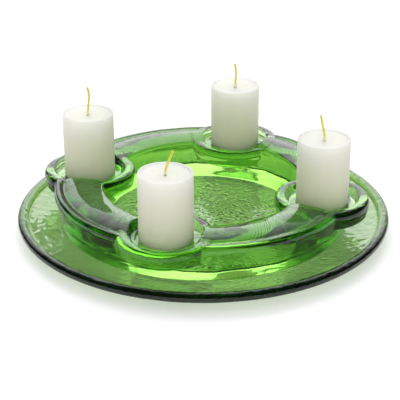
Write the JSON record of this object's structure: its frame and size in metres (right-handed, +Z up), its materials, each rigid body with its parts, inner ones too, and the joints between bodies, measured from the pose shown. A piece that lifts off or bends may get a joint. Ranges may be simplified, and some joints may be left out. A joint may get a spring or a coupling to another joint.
{
  "type": "advent wreath",
  "caption": "Pressed green glass ring with cups for stump candles, standing loose in a shallow glass plate, with white candles on wicks that lift out.",
  "frame": {"origin": "centre of the plate's underside, on the table", "axes": "+Z up along the plate's axis, +X through the centre of the first candle's cup"},
  "size_m": [0.3272, 0.3272, 0.1172],
  "materials": {
    "plate_glass": "pale green recycled glass, polished on top, fine linen texture underneath",
    "ring_glass": "thick green pressed glass, fire-polished, with small seeds",
    "candle_wax": "matt white wax, faintly mottled",
    "wick_cotton": "yellow waxed cotton braid",
    "tab_steel": "thin pressed steel"
  },
  "bodies": {
    "plate": {"plate": "plate_glass"},
    "ring": {"candle_ring": "ring_glass"},
    "candle_1": {"candle_1_wax": "candle_wax", "candle_1_wick": "wick_cotton", "candle_1_wick_tab": "tab_steel"},
    "candle_2": {"candle_2_wax": "candle_wax", "candle_2_wick": "wick_cotton", "candle_2_wick_tab": "tab_steel"},
    "candle_3": {"candle_3_wax": "candle_wax", "candle_3_wick": "wick_cotton", "candle_3_wick_tab": "tab_steel"},
    "candle_4": {"candle_4_wax": "candle_wax", "candle_4_wick": "wick_cotton", "candle_4_wick_tab": "tab_steel"}
  },
  "joints": [
    {"name": "ring_lift", "type": "slide", "parent": "plate", "child": "ring", "axis": [0, 0, 1], "range_m": [0, 0.06]},
    {"name": "candle_1_lift", "type": "slide", "parent": "ring", "child": "candle_1", "axis": [0, 0, 1], "range_m": [0, 0.04]},
    {"name": "candle_2_lift", "type": "slide", "parent": "ring", "child": "candle_2", "axis": [0, 0, 1], "range_m": [0, 0.04]},
    {"name": "candle_3_lift", "type": "slide", "parent": "ring", "child": "candle_3", "axis": [0, 0, 1], "range_m": [0, 0.04]},
    {"name": "candle_4_lift", "type": "slide", "parent": "ring", "child": "candle_4", "axis": [0, 0, 1], "range_m": [0, 0.04]}
  ]
}
